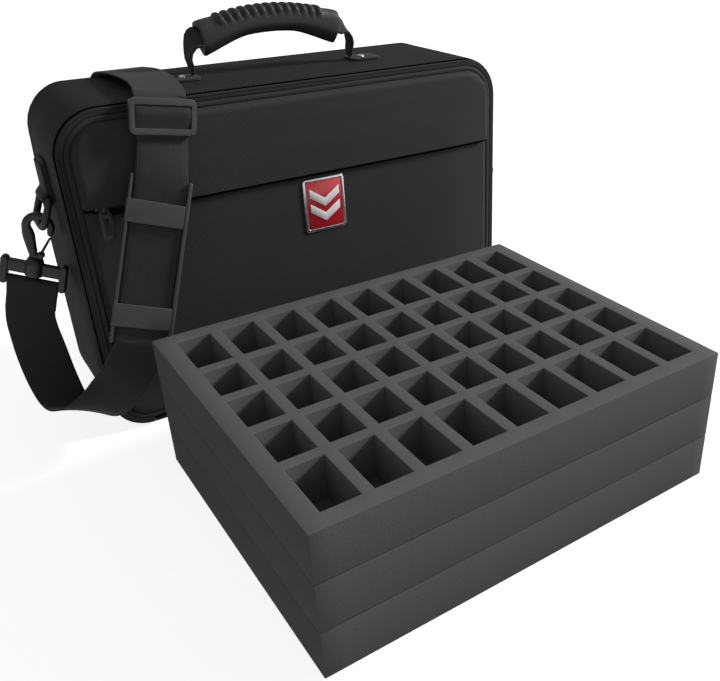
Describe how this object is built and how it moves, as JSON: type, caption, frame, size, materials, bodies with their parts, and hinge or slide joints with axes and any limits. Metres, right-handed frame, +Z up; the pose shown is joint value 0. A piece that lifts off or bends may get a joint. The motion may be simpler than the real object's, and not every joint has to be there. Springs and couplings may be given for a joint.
{
  "type": "miniature carry case",
  "caption": "Padded soft case with zipped fold-down front, riveted grip handle, clip-on shoulder strap with swivel hooks and a pad, and foam trays cut into cells for miniatures.",
  "frame": {"origin": "middle of the case's base, on the floor that the case and the trays stand on", "axes": "+X along the case length to its right side, +Y to its back, +Z up"},
  "size_m": [0.5241, 0.5356, 0.3409],
  "materials": {
    "cloth": "fine plain weave, charcoal black",
    "trim": "woven tape and coil teeth, black",
    "webbing": "ribbed polyester webbing, charcoal",
    "buckles": "moulded acetal, satin dark grey",
    "grip": "soft moulded rubber, satin black",
    "foam": "closed-cell polyethylene foam, dark grey",
    "metal": "plated steel",
    "badge_field": "glossy red enamel",
    "badge_mark": "glossy white enamel"
  },
  "bodies": {
    "case": {"gusset": "cloth", "back_panel": "cloth", "zip_half_shell": "trim", "door_fold": "cloth", "handle_patch_left": "webbing", "handle_patch_right": "webbing", "handle_rivet_left": "metal", "handle_rivet_right": "metal", "d_ring_tab_left": "webbing", "d_ring_tab_right": "webbing", "hook_frame_left": "buckles", "hook_frame_right": "buckles"},
    "door": {"door_panel": "cloth", "door_piping": "trim", "zip_half_door": "trim", "pocket_panel": "cloth", "upper_panel": "cloth", "pocket_zip_teeth": "trim", "badge_rim": "metal", "badge_field": "badge_field", "badge_chevron_upper": "badge_mark", "badge_chevron_lower": "badge_mark"},
    "strap": {"strap_webbing": "webbing"},
    "strap_slide": {"strap_slide": "buckles"},
    "shoulder_pad": {"shoulder_pad": "buckles"},
    "handle": {"handle_webbing": "webbing", "handle_grip": "grip"},
    "d_ring_left": {"d_ring_left": "buckles"},
    "d_ring_right": {"d_ring_right": "buckles"},
    "hook_left": {"hook_left": "buckles"},
    "hook_right": {"hook_right": "buckles"},
    "gate_left": {"hook_gate_left": "metal"},
    "gate_right": {"hook_gate_right": "metal"},
    "zip_slider_main": {"zip_slider_main": "metal"},
    "zip_pull_main": {"zip_pull_main": "buckles"},
    "zip_slider_pocket": {"zip_slider_pocket": "metal"},
    "zip_pull_pocket": {"zip_pull_pocket": "buckles"},
    "tray_1": {"tray_1_base": "foam", "tray_1_grid": "foam"},
    "tray_2": {"tray_2_base": "foam", "tray_2_grid": "foam"},
    "tray_3": {"tray_3_base": "foam", "tray_3_grid": "foam"}
  },
  "joints": [
    {"name": "door_hinge", "type": "hinge", "parent": "case", "child": "door", "pos_m": [0, -0.0619, 0.003], "axis": [-1, 0, 0], "range_deg": [-20, 0], "deforming": ["zip_half_shell"]},
    {"name": "strap_swing", "type": "hinge", "parent": "case", "child": "strap", "pos_m": [0, -0.109, 0.09], "axis": [-1, 0, 0], "range_deg": [-34, 0], "deforming": ["strap_webbing"]},
    {"name": "strap_adjust", "type": "slide", "parent": "strap", "child": "strap_slide", "axis": [-0.1708, -0.0301, -0.9848], "range_m": [0, 0.008]},
    {"name": "pad_slide", "type": "slide", "parent": "strap", "child": "shoulder_pad", "axis": [-0.3638, -0.1589, -0.9178], "range_m": [-0.008, 0.02]},
    {"name": "handle_fold", "type": "hinge", "parent": "case", "child": "handle", "pos_m": [0.003, -0.004, 0.2921], "axis": [1, 0, 0], "range_deg": [-70, 70]},
    {"name": "d_ring_swing_left", "type": "hinge", "parent": "case", "child": "d_ring_left", "pos_m": [-0.2124, -0.0095, 0.207], "axis": [0, 1, 0], "range_deg": [-1.5, 2]},
    {"name": "d_ring_swing_right", "type": "hinge", "parent": "case", "child": "d_ring_right", "pos_m": [0.2124, -0.0095, 0.207], "axis": [0, 1, 0], "range_deg": [-2, 1.5]},
    {"name": "hook_swivel_left", "type": "hinge", "parent": "case", "child": "hook_left", "pos_m": [-0.2321, -0.00465, 0.1495], "axis": [0.2703, -0.1318, 0.9537], "range_deg": [0, 45]},
    {"name": "hook_swivel_right", "type": "hinge", "parent": "case", "child": "hook_right", "pos_m": [0.2321, -0.00465, 0.1495], "axis": [0.2703, 0.1318, -0.9537], "range_deg": [0, 45]},
    {"name": "gate_left", "type": "hinge", "parent": "hook_left", "child": "gate_left", "pos_m": [-0.22659, -0.00734, 0.15763], "axis": [0.4384, 0.8988, 0], "range_deg": [-25, 0], "stiffness_Nm_per_rad": 0.02, "springref_deg": 6.88},
    {"name": "gate_right", "type": "hinge", "parent": "hook_right", "child": "gate_right", "pos_m": [0.22659, -0.00734, 0.15763], "axis": [0.4384, -0.8988, 0], "range_deg": [-25, 0], "stiffness_Nm_per_rad": 0.02, "springref_deg": 6.88},
    {"name": "zip_slide_main", "type": "slide", "parent": "door", "child": "zip_slider_main", "axis": [0, 0, 1], "range_m": [0, 0.195]},
    {"name": "zip_pull_main_swing", "type": "hinge", "parent": "zip_slider_main", "child": "zip_pull_main", "pos_m": [0.20465, -0.0668, 0.044], "axis": [-1, 0, 0], "range_deg": [0, 100]},
    {"name": "zip_slide_pocket", "type": "slide", "parent": "door", "child": "zip_slider_pocket", "axis": [1, 0, 0], "range_m": [0, 0.345]},
    {"name": "zip_pull_pocket_swing", "type": "hinge", "parent": "zip_slider_pocket", "child": "zip_pull_pocket", "pos_m": [-0.182, -0.0683, 0.2057], "axis": [1, 0, 0], "range_deg": [-80, 0]},
    {"name": "tray_1_lift", "type": "slide", "parent": "case", "child": "tray_1", "axis": [0, 0, 1], "range_m": [0, 0.12]},
    {"name": "tray_2_lift", "type": "slide", "parent": "tray_1", "child": "tray_2", "axis": [0, 0, 1], "range_m": [0, 0.12]},
    {"name": "tray_3_lift", "type": "slide", "parent": "tray_2", "child": "tray_3", "axis": [0, 0, 1], "range_m": [0, 0.12]}
  ],
  "couplings": [
    {"joint": "strap_swing", "follows": "door_hinge", "ratio": 1.7}
  ]
}
